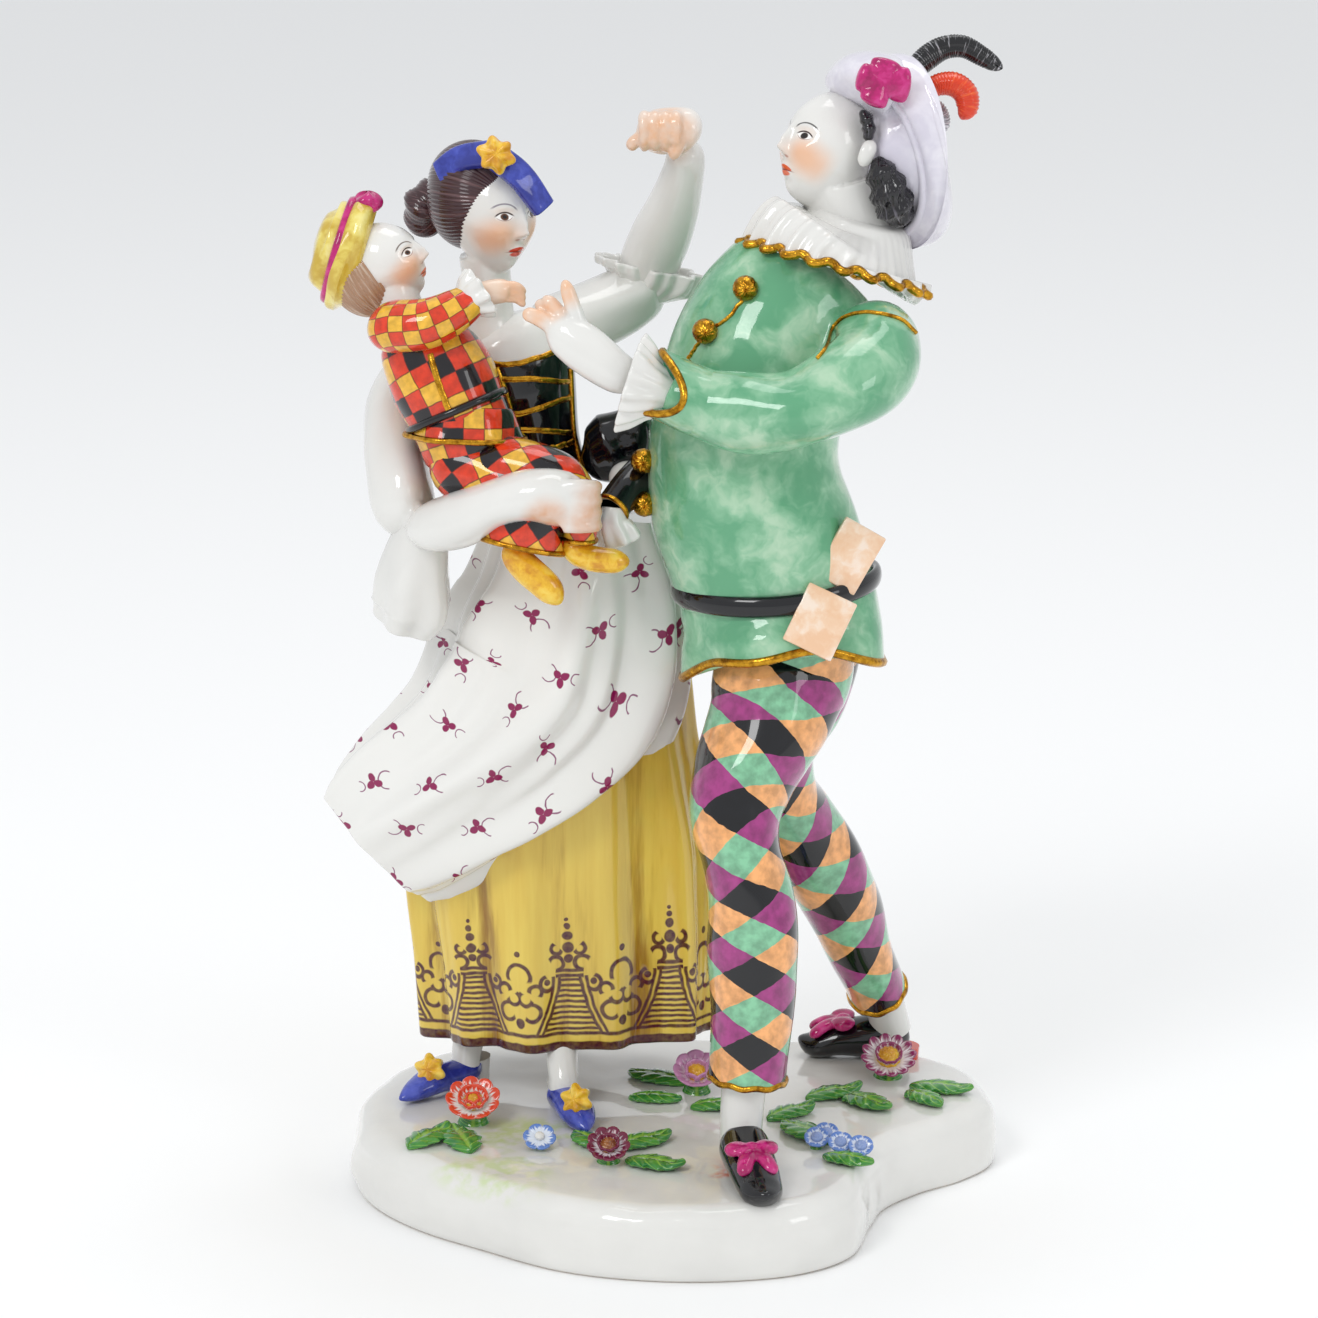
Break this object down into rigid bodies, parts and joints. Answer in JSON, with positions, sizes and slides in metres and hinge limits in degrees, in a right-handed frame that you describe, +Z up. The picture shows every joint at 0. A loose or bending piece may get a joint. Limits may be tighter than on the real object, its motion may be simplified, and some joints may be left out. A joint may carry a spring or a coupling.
{
  "type": "porcelain figure group",
  "caption": "Glazed porcelain group of a woman carrying a child and a man in a green jacket and lozenge trousers, on a low flower-strewn base.",
  "frame": {"origin": "on the flat underside of the base, in the middle of its footprint", "axes": "+Z up, -Y towards the side the picture shows, +X to that viewer's right"},
  "size_m": [0.113, 0.0874, 0.1914],
  "materials": {
    "glazed_porcelain": "gloss"
  },
  "bodies": {
    "root": {"porcelain_group": "glazed_porcelain"}
  },
  "joints": []
}
